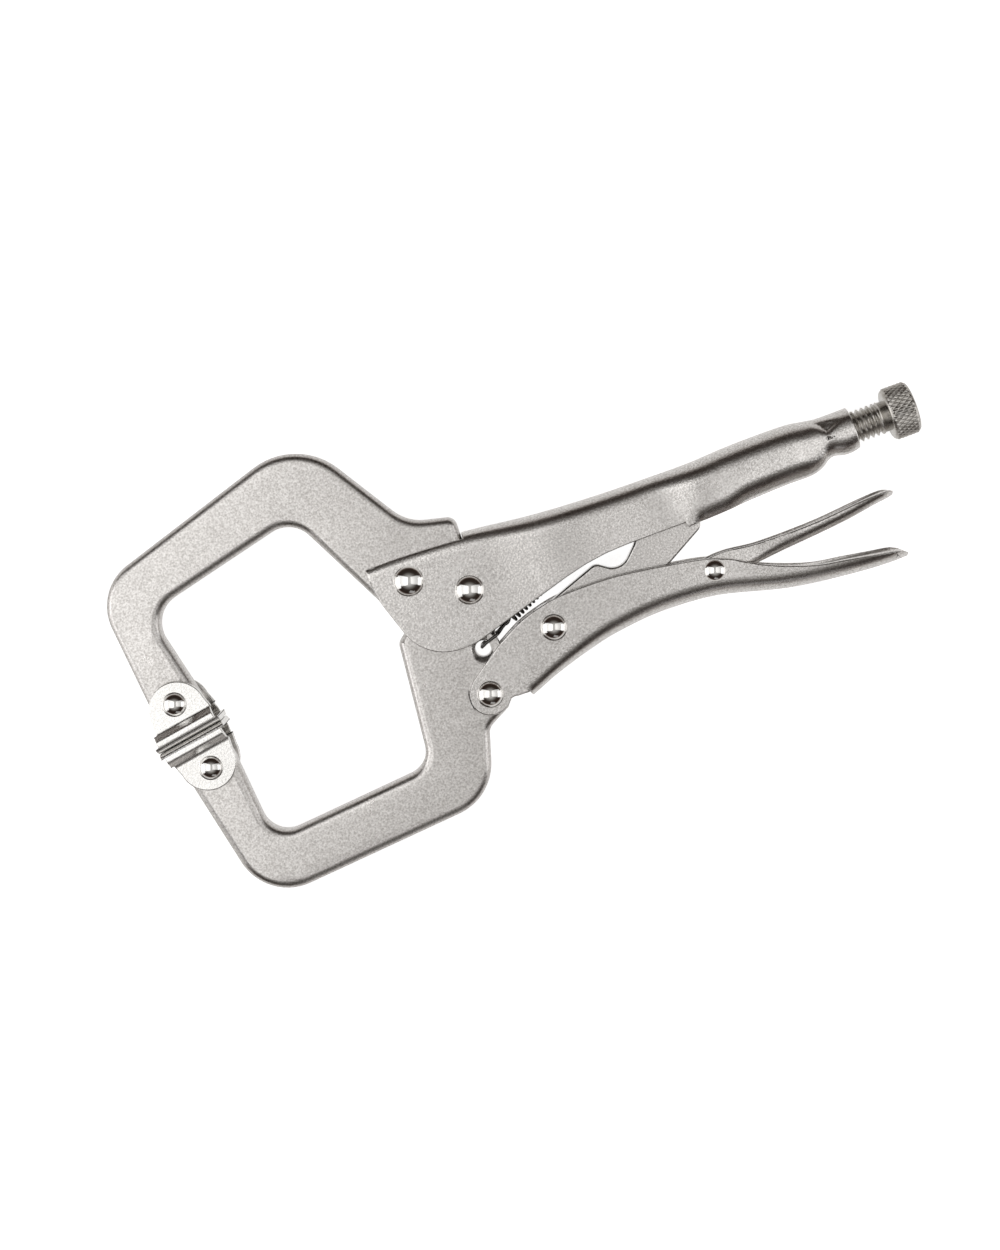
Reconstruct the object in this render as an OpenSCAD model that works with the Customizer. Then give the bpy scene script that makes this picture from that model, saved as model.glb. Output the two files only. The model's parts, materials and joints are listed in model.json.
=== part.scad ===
// Locking C-clamp pliers with swivel pads, closed and locked, lying on their side.
//
// The design is drawn about the jaw pivot: X runs along the adjusting screw towards the knob, Y points
// to the fixed-handle side, and Z is along the rivets, with the plane of symmetry at Z = 0.  place()
// then moves everything so that the origin is under the middle of the tool, on the surface it lies on.

/* [Jaws] */
// Thickness of both jaw plates
jaw_t = 9; // [6:0.5:12]
// Radius of the round jaw tips, about the pad rivets
tip_r = 8.8; // [7:0.1:9]

/* [Handles] */
// Thickness of the folded sheet of both handles
sheet_t = 1.9; // [1.6:0.1:2.2]
// Play between a jaw plate and the handle sheet beside it
side_play = 0.15; // [0.1:0.05:0.3]
// Outer radius of the folded spine at the front of the handles
spine_r = 5; // [4:0.2:6]
// Half width of the rolled rear part of the fixed handle
grip_half_w = 7.6; // [7.5:0.1:8]
// Half width of the moving handle's tail
tail_half_w = 8.4; // [7:0.1:9]

/* [Toggle] */
// Thickness of the toggle link
link_t = 6; // [4:0.5:7]
// Sheet thickness of the release lever
lever_t = 1.5; // [1.2:0.1:1.8]
// Half width of the release lever inside the moving handle
lever_half_w = 4.4; // [4:0.1:4.4]

/* [Adjusting screw] */
// Outside diameter of the thread
thread_d = 11.1; // [9:0.1:11.1]
// Pitch of the thread
thread_pitch = 1.814; // [1.2:0.001:2]
// Outside diameter of the neck that the screw runs through
neck_d = 14.6; // [14:0.1:15]
// Diameter of the knob
knob_d = 18.1; // [15:0.1:18.5]
// Length of the knob
knob_len = 9.2; // [8:0.1:12]
// Number of knurl teeth round the knob
knurl_count = 36; // [24:2:48]

/* [Rivets] */
// Height of the domed rivet heads
head_h = 2.8; // [2:0.1:3]
// Running clearance on the radius of every rivet and of the screw
running = 0.05; // [0.02:0.01:0.1]

/* [Swivel pads] */
// Sheet thickness of the pads
pad_t = 2; // [1.6:0.1:2.2]
// Length of a pad's gripping face
pad_len = 24.3; // [20:0.1:26]
// Distance from a pad's rivet to its gripping face
pad_reach = 12.2; // [12:0.1:12.3]
// Half width of a pad's gripping face, along the rivets
pad_half_w = 8.9; // [8:0.1:9.2]

/* [Spring] */
// Wire diameter of the spring
wire_d = 1.1; // [0.8:0.1:1.3]
// Outside diameter of the spring's coil
coil_d = 5; // [4:0.1:5.4]
// Number of turns in the coil
coil_turns = 18; // [8:1:18]

/* [Hidden] */
$fn = 64;

// Centres of the rivets, seen along Z
jaw_anchor = [-18.1, 9.8];
jaw_pivot = [0, 0];
handle_pivot = [-5.7, -35.4];
link_pivot = [22.1, -21.6];
release_pivot = [79.3, -22.4];
upper_pad_pivot = [-106.6, -1.8];
lower_pad_pivot = [-102.8, -26.1];
// Hole in the moving jaw for the front hook of the spring
spring_hole = [-2.7, -20.5];
spring_hole_r = 2.7;

// Radii of the rivets: [head, shank]
anchor_size = [5.1, 3.2];
pivot_size = [4.9, 3.0];
joint_size = [4.5, 2.8];
release_size = [3.5, 2.0];
pad_size = [4.15, 2.6];

// Half widths across the tool
slot_half = jaw_t / 2 + side_play;
sheet_half = slot_half + sheet_t;
rest_half = sheet_half + head_h;

// Screw axis and stations along it
screw_y = 6;
neck_r = neck_d / 2;
neck_start = 128;
neck_end = 139;
screw_tip = 84;
screw_nose_len = 4;
screw_nose_r = 4;
thread_end = 148.8;
knob_start = 151.2;
knob_end = knob_start + knob_len;
shank_r = 5.2;
stub_r = 3.5;
stub_end = knob_start + 7;
thread_depth = 0.6 * thread_pitch;

// Rear end of the spring, held by a tab inside the fixed handle
spring_anchor = [45, 2.8];
tab_t = 1.6;

// Direction of the gripping faces, which stand square to the line between the two pad rivets
pad_line = lower_pad_pivot - upper_pad_pivot;
pad_turn = atan2(pad_line.y, pad_line.x) + 90;

// Outermost points of the tool, which place the origin under its middle
front_x = -117.93;
top_y = 64.23;
low_y = -75.57;
middle = [(front_x + knob_end) / 2, (top_y + low_y) / 2];

module place() translate([-middle.x, -middle.y, rest_half]) children();

// ---- curves ----

function unit(v) = v / norm(v);
function ease(a, b, x0, x1, x) =
    let (s = max(0, min(1, (x - x0) / (x1 - x0)))) a + (b - a) * s * s * (3 - 2 * s);
function steps(a, b, n) = [for (i = [0 : n]) a + (b - a) * i / n];

// Slope of a smooth curve through the points p, at point i
function slope(p, i) =
    let (a = p[max(0, i - 1)], b = p[min(len(p) - 1, i + 1)]) (b.y - a.y) / (b.x - a.x);
// Which stretch of the curve through the points p holds x
function stretch(p, x, i = 0) = i >= len(p) - 2 || x < p[i + 1].x ? i : stretch(p, x, i + 1);
// Height at x of the smooth curve through the points p
function curve(p, x) =
    let (
        i = stretch(p, x),
        h = p[i + 1].x - p[i].x,
        s = (x - p[i].x) / h,
        bend = (1 - s) * s * ((1 - s) * slope(p, i) - s * slope(p, i + 1)) * h
    )
    (1 - s) * (1 - s) * (1 + 2 * s) * p[i].y + s * s * (3 - 2 * s) * p[i + 1].y + bend;

// Arc that rounds the corner p between its neighbours a and b, a corner being [x, y, radius]
function corner_arc(a, p, b) =
    let (
        here = [p.x, p.y],
        to_a = unit([a.x, a.y] - here),
        to_b = unit([b.x, b.y] - here),
        half = acos(to_a * to_b) / 2,
        centre = here + unit(to_a + to_b) * p.z / sin(half),
        first = here + to_a * p.z / tan(half) - centre,
        turn = sign(cross(to_a, to_b)) * (2 * half - 180),
        n = ceil(abs(turn) / 6)
    )
    [for (i = [0 : n]) let (t = turn * i / n) centre + [
        first.x * cos(t) - first.y * sin(t),
        first.x * sin(t) + first.y * cos(t)
    ]];
function rounded(c) =
    let (n = len(c))
    [for (i = [0 : n - 1])
        each c[i].z == 0 ? [[c[i].x, c[i].y]] : corner_arc(c[(i + n - 1) % n], c[i], c[(i + 1) % n])];

// ---- shapes ----

// Flat plate of thickness t about the plane of symmetry
module plate(t) linear_extrude(height = t, center = true) children();

// Round boss or round hole along Z
module round_at(at, r, depth = 40) translate([at.x, at.y, 0]) cylinder(r = r, h = depth, center = true);

// Rivet with a domed head on each side of a stack that is 2 * half thick; size is [head, shank] radius
module rivet(at, size, half, high = head_h) {
    ball_r = (size.x * size.x + high * high) / (2 * high);
    translate([at.x, at.y, 0]) {
        cylinder(r = size.y, h = 2 * half + 0.02, center = true);
        for (side = [0, 1])
            mirror([0, 0, side])
                intersection() {
                    translate([0, 0, half + high - ball_r]) sphere(r = ball_r, $fn = 96);
                    translate([0, 0, half]) cylinder(r = size.x + 1, h = high + 1);
                }
    }
}

// Solid through a row of closed rings that all have the same even number of points.  Each end is a strip of
// quads from point j to point n - 1 - j, so the end of a folded sheet closes without bridging its mouth.
module loft(rings) {
    n = len(rings[0]);
    last = (len(rings) - 1) * n;
    points = [for (ring = rings) each ring];
    sides = [for (i = [0 : n : last - n]) for (j = [0 : n - 1])
        let (k = (j + 1) % n) each [[i + j, i + k, i + n + k], [i + j, i + n + k, i + n + j]]];
    first_end = [for (j = [0 : n / 2 - 2]) [n - 1 - j, n - 2 - j, j + 1, j]];
    last_end = [for (j = [0 : n / 2 - 2]) [last + j, last + j + 1, last + n - 2 - j, last + n - 1 - j]];
    polyhedron(points = points, faces = concat(sides, first_end, last_end), convexity = 10);
}

// Cross-section of a folded sheet: the fold is at height top, the sides end at height low, and their ends
// roll inwards by the angle curl on the radius low_r
function fold_path(top, low, half_w, top_r, low_r, curl, inset) =
    let (
        low_c = [half_w - low_r, low + low_r * sin(curl)],
        top_c = [half_w - top_r, top - top_r],
        side = concat(
            [for (a = steps(-curl, 0, 5)) low_c + (low_r - inset) * [cos(a), sin(a)]],
            [for (a = steps(0, 90, 6)) top_c + (top_r - inset) * [cos(a), sin(a)]]
        ),
        n = len(side)
    )
    concat(side, [for (i = [n - 1 : -1 : 0]) [-side[i].x, side[i].y]]);
function fold_ring(x, up, top, low, half_w, top_r, low_r, curl, t) =
    let (
        outer = fold_path(top, low, half_w, top_r, low_r, curl, 0),
        inner = fold_path(top, low, half_w, top_r, low_r, curl, t),
        n = len(inner)
    )
    [for (p = concat(outer, [for (i = [n - 1 : -1 : 0]) inner[i]])) [x, up * p.y, up * p.x]];

// Ring of radius r round point i of a path.  Its first point lies square to the path and to the vector beside.
function ring_at(path, i, r, sides, beside) =
    let (
        along = unit(path[min(len(path) - 1, i + 1)] - path[max(0, i - 1)]),
        across = unit(cross(along, beside)),
        other = cross(along, across)
    )
    [for (j = [sides - 1 : -1 : 0]) let (a = 360 * j / sides) path[i] + r * (cos(a) * across + sin(a) * other)];

// ---- fixed handle ----

// Back of the folded spine, and underside of the rolled grip, along the handle
fixed_back = [[-34, 20], [-18, 20.1], [4, 18.8], [29, 16], [51, 14.7], [70, 14.3], [84, 14.2], [95, 14.8],
    [105, 15], [118, 14.8], [124, 13.9], [neck_start, screw_y + neck_r], [neck_end, screw_y + neck_r]];
grip_low = [[76, -5.7], [84, -5.5], [100, -4.7], [112, -4.2], [121, -4.2], [125, -3],
    [neck_start, screw_y - neck_r], [neck_end, screw_y - neck_r]];
grip_start = 76;
hump_end = 3.5;

// Side view of the handle: the round front lobe, the lower edge, and room for the rolled grip
module fixed_handle_side()
    polygon(rounded([
        [-30.5, 20.5, 0], [-30.2, 8.2, 25], [-21.9, -17.8, 17], [-4.4, -17.8, 22], [43, -3.95, 80],
        [grip_start, -3.95, 0], [grip_start, -12, 0], [neck_end, -12, 0], [neck_end, 24, 0], [-30.5, 24, 0]
    ]));

function fixed_half_w(x) =
    ease(sheet_half, grip_half_w, 68, 84, x) + ease(0, neck_r - grip_half_w, 119, neck_start, x);
function fixed_ring(x) = fold_ring(
    x, 1, curve(fixed_back, x), x < grip_start ? -22 : curve(grip_low, x), fixed_half_w(x),
    min(fixed_half_w(x), ease(spine_r, 7.3, 55, 90, x)), min(fixed_half_w(x), 7.3),
    1 + ease(0, 50, grip_start - 1, 82, x) + ease(0, 30, 90, 100, x), sheet_t);

module fixed_handle() place() color("silver") difference() {
    union() {
        intersection() {
            loft([for (x = concat(steps(-34, 74, 22), [grip_start - 0.02], steps(grip_start, neck_end, 30)))
                fixed_ring(x)]);
            plate(40) fixed_handle_side();
        }
        spring_tab();
    }
    // slot in the spine for the hump of the fixed jaw
    translate([-40, -30, -slot_half]) cube([40 + hump_end, 60, 2 * slot_half]);
    round_at(jaw_anchor, anchor_size.y + running);
    round_at(jaw_pivot, pivot_size.y + running);
    translate([120, screw_y, 0]) rotate([0, 90, 0]) cylinder(r = thread_d / 2 + 2 * running, h = 30);
}

// Tab bent down from the spine, with the hole for the rear hook of the spring
module spring_tab() {
    drop = curve(fixed_back, spring_anchor.x) - sheet_t / 2;
    translate([spring_anchor.x - 2.5, spring_anchor.y - 2.6, -tab_t / 2])
        cube([5, drop - spring_anchor.y + 2.6, tab_t]);
}

// ---- jaws ----

fixed_jaw_edge = [
    [-115.4, upper_pad_pivot.y, 0], [-119, 43.3, 17.5], [-36.8, 68.4, 23], [-12, 28.4, 15], [3.6, 24.6, 3.4],
    [3.3, 13, 3], [2, 12.5, 0], [-12, 2, 0], [-20, -1.5, 0], [-26, -1.5, 2],
    [-47.9, 42.7, 10], [-104.3, 29.4, 10.4], [-97.6, upper_pad_pivot.y, 0]
];
moving_jaw_edge = [
    [-94.1, lower_pad_pivot.y, 0], [-91.9, -56.6, 9], [-33.6, -51.5, 8.4], [-28.9, -8.8, 3], [-22, -3.2, 1],
    [-8, -3, 0], [9.5, -3, 0], [2.8, -17, 3], [2.8, -33, 2], [1.8, -38, 1], [-1.6, -42.2, 0], [-10.1, -46.6, 5],
    [-17.3, -69.7, 19], [-102.3, -76.9, 18.5], [-112.4, lower_pad_pivot.y, 0]
];
lap_r = 10;
lap_t = jaw_t / 3;

// The rear of the fixed jaw is a tongue that laps into the fork of the moving jaw round the pivot
module fixed_jaw() place() color("gainsboro") difference() {
    union() {
        difference() {
            plate(jaw_t) polygon(rounded(fixed_jaw_edge));
            round_at(jaw_pivot, lap_r + 0.3);
        }
        round_at(upper_pad_pivot, tip_r, jaw_t);
        round_at(jaw_pivot, lap_r, lap_t - 0.2);
        intersection() {
            round_at(jaw_pivot, lap_r + 2, lap_t - 0.2);
            plate(lap_t) polygon([[0, 0], [0, 20], [-20, 20], [-20, 2]]);
        }
    }
    round_at(jaw_anchor, anchor_size.y + running);
    round_at(jaw_pivot, pivot_size.y + running);
    round_at(upper_pad_pivot, pad_size.y + running);
}

module moving_jaw() place() color("gainsboro") difference() {
    union() {
        plate(jaw_t) polygon(rounded(moving_jaw_edge));
        round_at(lower_pad_pivot, tip_r, jaw_t);
        round_at(jaw_pivot, lap_r, jaw_t);
        round_at(handle_pivot, 7.5, jaw_t);
    }
    round_at(jaw_pivot, lap_r + 0.3, lap_t);
    round_at(jaw_pivot, pivot_size.y + running);
    round_at(handle_pivot, joint_size.y + running);
    round_at(lower_pad_pivot, pad_size.y + running);
    round_at(spring_hole, spring_hole_r);
}

// ---- moving handle ----

// Back of the folded spine, measured downwards, and upper edge of the sides
moving_back = [[-14, 48.3], [7.3, 41.3], [18.2, 37.2], [32.2, 33.2], [42, 31.2], [56, 29.8], [70, 30.2],
    [80, 31.6], [102, 37.2], [127, 40.2], [142, 40.8]];
moving_edge = [[2.4, -21], [11.3, -16.4], [18, -14.2], [26, -12.6], [38, -12.3], [48, -12.8], [58, -14.1],
    [67, -15.6], [77.4, -17.6], [85.5, -20.6], [93.4, -25.2], [102, -29], [112, -32.3], [122, -34],
    [132, -35.8], [142, -39.6]];
moving_end = 142;
ear_r = 7.2;
notch_x = 7.3;

// Side view: the round ear, the upper edge, and a notch in front of the spine that clears the jaw
module moving_handle_side()
    polygon(concat(
        [for (a = steps(320, 124, 28)) handle_pivot + ear_r * [cos(a), sin(a)]],
        [for (x = steps(2.4, moving_end, 56)) [x, curve(moving_edge, x)]],
        [[moving_end, -46], [notch_x, -46], [notch_x, -39.2], [3.4, -39]]
    ));

function moving_half_w(x) = ease(sheet_half, tail_half_w, 85, 125, x);
function moving_ring(x) = fold_ring(
    x, -1, curve(moving_back, x), 5, moving_half_w(x), ease(spine_r, 6.2, 60, 100, x), 4, 1, sheet_t);

module moving_handle() place() color("silver") difference() {
    intersection() {
        loft([for (x = steps(-14, moving_end, 52)) moving_ring(x)]);
        plate(40) moving_handle_side();
    }
    translate([-20, -60, -slot_half]) cube([20 + notch_x, 60, 2 * slot_half]);
    round_at(handle_pivot, joint_size.y + running);
    round_at(link_pivot, joint_size.y + running);
    round_at(release_pivot, release_size.y + running);
}

// ---- toggle link ----

link_edge = [
    [17, -15.9, 3], [31, -10.8, 12], [42.5, -6.7, 3], [50, -12, 6], [57, -5, 6], [62, 3, 8], [70, 10, 3],
    [80, 6, 3], [80.5, -7.2, 3.5], [66, -15.2, 8], [61, -18.4, 6], [47, -20, 8], [30, -28, 3], [20, -25, 0]
];

module toggle_link() place() color("lightgray") difference() {
    union() {
        plate(link_t) polygon(rounded(link_edge));
        round_at(link_pivot, 8, link_t);
    }
    round_at(link_pivot, joint_size.y + running);
}

// ---- release lever ----

// A channel that is open above.  Heights of the upper edge of its sides and of its folded back
lever_edge = [[58, -24.1], [64, -22.4], [71, -19.7], [78, -18], [85, -17.7], [96, -18.9], [116, -18.9],
    [134, -17.4], [144, -17.9]];
lever_back = [[58, -25.7], [64, -25.5], [75, -25.5], [90, -25.5], [104, -24.3], [126, -22.3], [138, -20.3],
    [144, -19.2]];
lever_start = 58;
lever_end = 144;

module release_lever_side()
    polygon(concat(
        [for (x = steps(lever_start, lever_end, 30)) [x, curve(lever_edge, x)]],
        [for (x = steps(lever_end, lever_start, 30)) [x, curve(lever_back, x) - 0.5]]
    ));

function lever_ring(x) = fold_ring(
    x, -1, -curve(lever_back, x), 10, ease(lever_half_w, 5.8, 94, 112, x), ease(2.4, 4, 90, 106, x),
    2, 1, lever_t);

module release_lever() place() color("silver") difference() {
    intersection() {
        loft([for (x = steps(lever_start, lever_end, 36)) lever_ring(x)]);
        plate(40) release_lever_side();
    }
    round_at(release_pivot, release_size.y + running);
}

// ---- adjusting screw ----

// Half profile of the screw: nose, ring grooves in place of the helix, plain shank and the stub in the knob
module screw_profile() {
    r = thread_d / 2;
    root = r - thread_depth;
    nose_end = screw_tip + screw_nose_len;
    grooves = floor((thread_end - nose_end) / thread_pitch) - 1;
    polygon(concat(
        [[0, screw_tip], [screw_nose_r - 1, screw_tip], [screw_nose_r, screw_tip + 1],
            [screw_nose_r, nose_end]],
        [for (i = [0 : grooves - 1]) let (at = nose_end + thread_pitch * (i + 0.5))
            each [[r, at], [root, at + thread_pitch / 2], [r, at + thread_pitch * 0.95]]],
        [[shank_r, thread_end], [shank_r, knob_start], [stub_r, knob_start], [stub_r, stub_end], [0, stub_end]]
    ));
}

module on_screw_axis() translate([0, screw_y, 0]) rotate([0, 90, 0]) children();

module adjusting_screw() place() color("dimgray") on_screw_axis() rotate_extrude() screw_profile();

// Knob with chamfered rims and straight flutes, bored for the stub of the screw
module screw_knob() place() color("gray") on_screw_axis() difference() {
    rotate_extrude(angle = 360, $fn = 96)
        polygon([
            [stub_r + running, knob_start], [knob_d / 2 - 1.2, knob_start], [knob_d / 2, knob_start + 1.2],
            [knob_d / 2, knob_end - 1.2], [knob_d / 2 - 1.2, knob_end], [0, knob_end], [0, stub_end + 0.1],
            [stub_r + running, stub_end + 0.1]
        ]);
    for (i = [0 : knurl_count - 1])
        rotate(360 * i / knurl_count)
            translate([knob_d / 2 + 0.35, 0, knob_start - 1]) cylinder(r = 0.7, h = knob_len + 2, $fn = 16);
}

// ---- spring ----

// The coil lies on the line from the hole in the moving jaw to the tab in the fixed handle.  A loop of
// wire runs along both faces of the jaw and through its hole, and a straight end reaches past the tab.
spring_start = [spring_hole.x, spring_hole.y + 0.9, 0];
spring_line = unit([spring_anchor.x, spring_anchor.y, 0] - spring_start);
spring_across = [-spring_line.y, spring_line.x, 0];
coil_from = 13;
coil_to = 43.4;
coil_r = (coil_d - wire_d) / 2;
loop_z = jaw_t / 2 + wire_d / 2 + 0.15;
loop_bend = 1.3;
function on_spring(along, across, z) = spring_start + along * spring_line + across * spring_across + [0, 0, z];
function loop_corner(a, side) =
    on_spring(1.1 - loop_bend * cos(a), 0, side * (loop_z - loop_bend) + loop_bend * sin(a));

front_hook = concat(
    [on_spring(coil_from - 2, 0, -1.4), on_spring(10, -0.2, -2.2), on_spring(7.5, -0.6, -3.8),
        on_spring(6.5, -0.6, -loop_z + 0.1), on_spring(5, -0.4, -loop_z)],
    [for (a = steps(-90, 0, 3)) loop_corner(a, -1)],
    [for (a = steps(0, 90, 3)) loop_corner(a, 1)],
    [on_spring(5, -0.4, loop_z), on_spring(6.5, -0.6, loop_z - 0.1), on_spring(7.5, -0.6, 3.8),
        on_spring(10, -0.2, 2.4), on_spring(coil_from - 1.2, -0.4, coil_r + 0.1)]
);
turn_points = 12;
coil = [for (i = [0 : coil_turns * turn_points])
    let (a = 360 * i / turn_points, s = i / (coil_turns * turn_points))
    on_spring(coil_from + (coil_to - coil_from) * s, coil_r * sin(a), coil_r * cos(a))];
rear_hook = [on_spring(coil_to + 1.4, 0.4, coil_r), on_spring(coil_to + 3.5, 0, tab_t / 2 + 0.8),
    on_spring(coil_to + 8, 0, tab_t / 2 + 0.8)];

module tension_spring() place() color("dimgray") {
    path = concat(front_hook, coil, rear_hook);
    coil_first = len(front_hook);
    coil_last = coil_first + len(coil) - 1;
    loft([for (i = [0 : len(path) - 1])
        ring_at(path, i, wire_d / 2, 6, i < coil_first || i > coil_last ? spring_across : -spring_line)]);
}

// ---- swivel pads ----

ear_centre = 2.3;
ear_arc_r = 9.8;
ear_half = slot_half + pad_t;
foot_top = 6.4;
foot_len = 21.6;
foot_shift = -0.8;

// Section of a pad across its face, as [z, distance from the rivet]: ear, step outwards, bend and face
pad_side = [
    [slot_half, -12, 0], [slot_half, foot_top + 0.4, 2], [pad_half_w - pad_t, foot_top + 2.8, 1],
    [pad_half_w - pad_t, pad_reach - pad_t, 0.6]
];
pad_outside = [[pad_half_w, pad_reach, 2.6], [pad_half_w, foot_top + 2, 1.5], [ear_half, foot_top - 0.4, 2],
    [ear_half, -12, 0]];
function flipped(c) = [for (i = [len(c) - 1 : -1 : 0]) [-c[i].x, c[i].y, c[i].z]];
module pad_section() polygon(rounded(concat(pad_side, flipped(pad_side), flipped(pad_outside), pad_outside)));

// Front view of a pad: a round ear above a straight foot, and the face a little longer than the foot
module pad_front() polygon(concat(
    [for (a = steps(0, 180, 36)) [ear_arc_r * cos(a), ear_centre - ear_arc_r * sin(a)]],
    [[-10.6, foot_top], [foot_shift - foot_len / 2, foot_top], [foot_shift - foot_len / 2, pad_reach - pad_t],
        [foot_shift - pad_len / 2, pad_reach - pad_t], [foot_shift - pad_len / 2, 20],
        [foot_shift + pad_len / 2, 20], [foot_shift + pad_len / 2, pad_reach - pad_t],
        [foot_shift + foot_len / 2, pad_reach - pad_t], [foot_shift + foot_len / 2, foot_top], [10.6, foot_top]]
));

// A pad about its own rivet, with the gripping face towards +Y
module swivel_pad() difference() {
    intersection() {
        rotate([0, 90, 0]) linear_extrude(height = 40, center = true) pad_section();
        plate(40) pad_front();
    }
    round_at([0, 0], pad_size.y + running);
}

module upper_swivel_pad() place() color("whitesmoke")
    translate(upper_pad_pivot) rotate(pad_turn) mirror([0, 1, 0]) swivel_pad();
module lower_swivel_pad() place() color("whitesmoke")
    translate(lower_pad_pivot) rotate(pad_turn) swivel_pad();

// ---- rivets ----

module jaw_anchor_rivet() place() color("white") rivet(jaw_anchor, anchor_size, sheet_half);
module jaw_pivot_rivet() place() color("white") rivet(jaw_pivot, pivot_size, sheet_half);
module handle_pivot_rivet() place() color("white") rivet(handle_pivot, joint_size, sheet_half);
module link_rivet() place() color("white") rivet(link_pivot, joint_size, sheet_half);
module release_rivet() place() color("white") rivet(release_pivot, release_size, sheet_half, 1.9);
module pad_rivet(at) rivet(at, pad_size, ear_half, rest_half - ear_half);
module upper_pad_rivet() place() color("white") pad_rivet(upper_pad_pivot);
module lower_pad_rivet() place() color("white") pad_rivet(lower_pad_pivot);

fixed_handle();
fixed_jaw();
jaw_anchor_rivet();
jaw_pivot_rivet();
moving_jaw();
moving_handle();
handle_pivot_rivet();
link_rivet();
toggle_link();
release_lever();
release_rivet();
adjusting_screw();
screw_knob();
tension_spring();
upper_swivel_pad();
upper_pad_rivet();
lower_swivel_pad();
lower_pad_rivet();
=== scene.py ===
"""Looks of the locking C-clamp pliers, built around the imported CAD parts.

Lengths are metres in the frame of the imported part, unless a comment says otherwise.  X runs along the
adjusting screw, Y towards the fixed jaw's side and Z along the rivets.  The tool lies on the floor at Z = 0.
"""

import json
import math

import bmesh
import bpy
from mathutils import Matrix, Vector
from mathutils.geometry import tessellate_polygon


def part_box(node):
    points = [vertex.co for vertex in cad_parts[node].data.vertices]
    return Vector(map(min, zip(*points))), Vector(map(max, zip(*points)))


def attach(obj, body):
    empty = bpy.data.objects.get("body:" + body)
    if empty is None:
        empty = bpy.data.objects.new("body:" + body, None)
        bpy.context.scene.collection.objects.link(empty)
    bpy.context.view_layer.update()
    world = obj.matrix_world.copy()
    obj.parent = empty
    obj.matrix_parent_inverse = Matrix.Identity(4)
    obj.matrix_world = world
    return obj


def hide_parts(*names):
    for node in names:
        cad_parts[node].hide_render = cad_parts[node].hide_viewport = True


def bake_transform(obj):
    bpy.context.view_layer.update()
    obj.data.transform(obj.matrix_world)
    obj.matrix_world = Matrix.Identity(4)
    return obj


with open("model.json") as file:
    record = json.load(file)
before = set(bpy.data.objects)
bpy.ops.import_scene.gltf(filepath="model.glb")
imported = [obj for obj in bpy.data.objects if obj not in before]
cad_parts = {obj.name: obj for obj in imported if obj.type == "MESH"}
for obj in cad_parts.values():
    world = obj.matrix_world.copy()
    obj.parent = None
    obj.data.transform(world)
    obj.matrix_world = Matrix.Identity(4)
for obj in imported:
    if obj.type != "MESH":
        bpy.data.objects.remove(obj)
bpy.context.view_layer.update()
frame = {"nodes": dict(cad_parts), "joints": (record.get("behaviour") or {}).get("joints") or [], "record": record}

MM = 0.001
PIVOT = Vector(next(j["pos_m"] for j in frame["joints"] if j["name"] == "jaw_pivot"))
body_of_node = {n: b for b, nodes in frame["record"]["behaviour"]["bodies"].items() for n in nodes}
slot_of_node = {s["node"]: s["material_slot"] for s in frame["record"]["subparts"]}


# ---- materials ----


def new_material(name, color, roughness):
    """A metal with its even values set on the shader, and its node tree, shader and output of coordinates."""
    material = bpy.data.materials.new(name)
    material.use_nodes = True
    tree = material.node_tree
    shader = tree.nodes["Principled BSDF"]
    shader.inputs["Metallic"].default_value = 1.0
    shader.inputs["Base Color"].default_value = (*color, 1)
    shader.inputs["Roughness"].default_value = roughness
    place = tree.nodes.new("ShaderNodeTexCoord").outputs["Object"]
    return material, tree, shader, place


def noise(tree, place, grain, detail=3.0):
    """Noise whose grains are about grain metres across."""
    node = tree.nodes.new("ShaderNodeTexNoise")
    node.inputs["Scale"].default_value = 1 / grain
    node.inputs["Detail"].default_value = detail
    tree.links.new(place, node.inputs["Vector"])
    return node.outputs["Fac"]


def spread(tree, value, low, high):
    """Maps the middle of a noise, 0.3 to 0.7, to the range from low to high."""
    node = tree.nodes.new("ShaderNodeMapRange")
    node.inputs["From Min"].default_value = 0.3
    node.inputs["From Max"].default_value = 0.7
    node.inputs["To Min"].default_value = low
    node.inputs["To Max"].default_value = high
    tree.links.new(value, node.inputs["Value"])
    return node.outputs["Result"]


def tint(tree, value, dark, light):
    """Mixes two colours by value."""
    node = tree.nodes.new("ShaderNodeMix")
    node.data_type = "RGBA"
    node.inputs["A"].default_value = (*dark, 1)
    node.inputs["B"].default_value = (*light, 1)
    tree.links.new(value, node.inputs["Factor"])
    return node.outputs["Result"]


def bump(tree, height, depth, strength, shader):
    """Adds relief of that depth in metres to the shader."""
    node = tree.nodes.new("ShaderNodeBump")
    node.inputs["Strength"].default_value = strength
    node.inputs["Distance"].default_value = depth
    tree.links.new(height, node.inputs["Height"])
    tree.links.new(node.outputs["Normal"], shader.inputs["Normal"])


def blasted_nickel(name, light, dark, roughness):
    """Satin nickel plate over blasted steel: fine bright grain, with soft cloudy changes of sheen."""
    grain = 0.62 * MM
    relief = 0.06 * MM
    material, tree, shader, place = new_material(name, light, roughness)
    fine = noise(tree, place, grain, 2.0)
    cloud = noise(tree, place, 14 * MM, 4.0)
    tree.links.new(tint(tree, spread(tree, fine, 0, 1), dark, light), shader.inputs["Base Color"])
    tree.links.new(spread(tree, cloud, roughness - 0.03, roughness + 0.03), shader.inputs["Roughness"])
    bump(tree, fine, relief, 0.8, shader)
    return material


def polished_steel(name, color):
    """Polished rivet steel with faint handling marks."""
    material, tree, shader, place = new_material(name, color, 0.09)
    tree.links.new(spread(tree, noise(tree, place, 1.6 * MM), 0.06, 0.14), shader.inputs["Roughness"])
    return material


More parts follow.
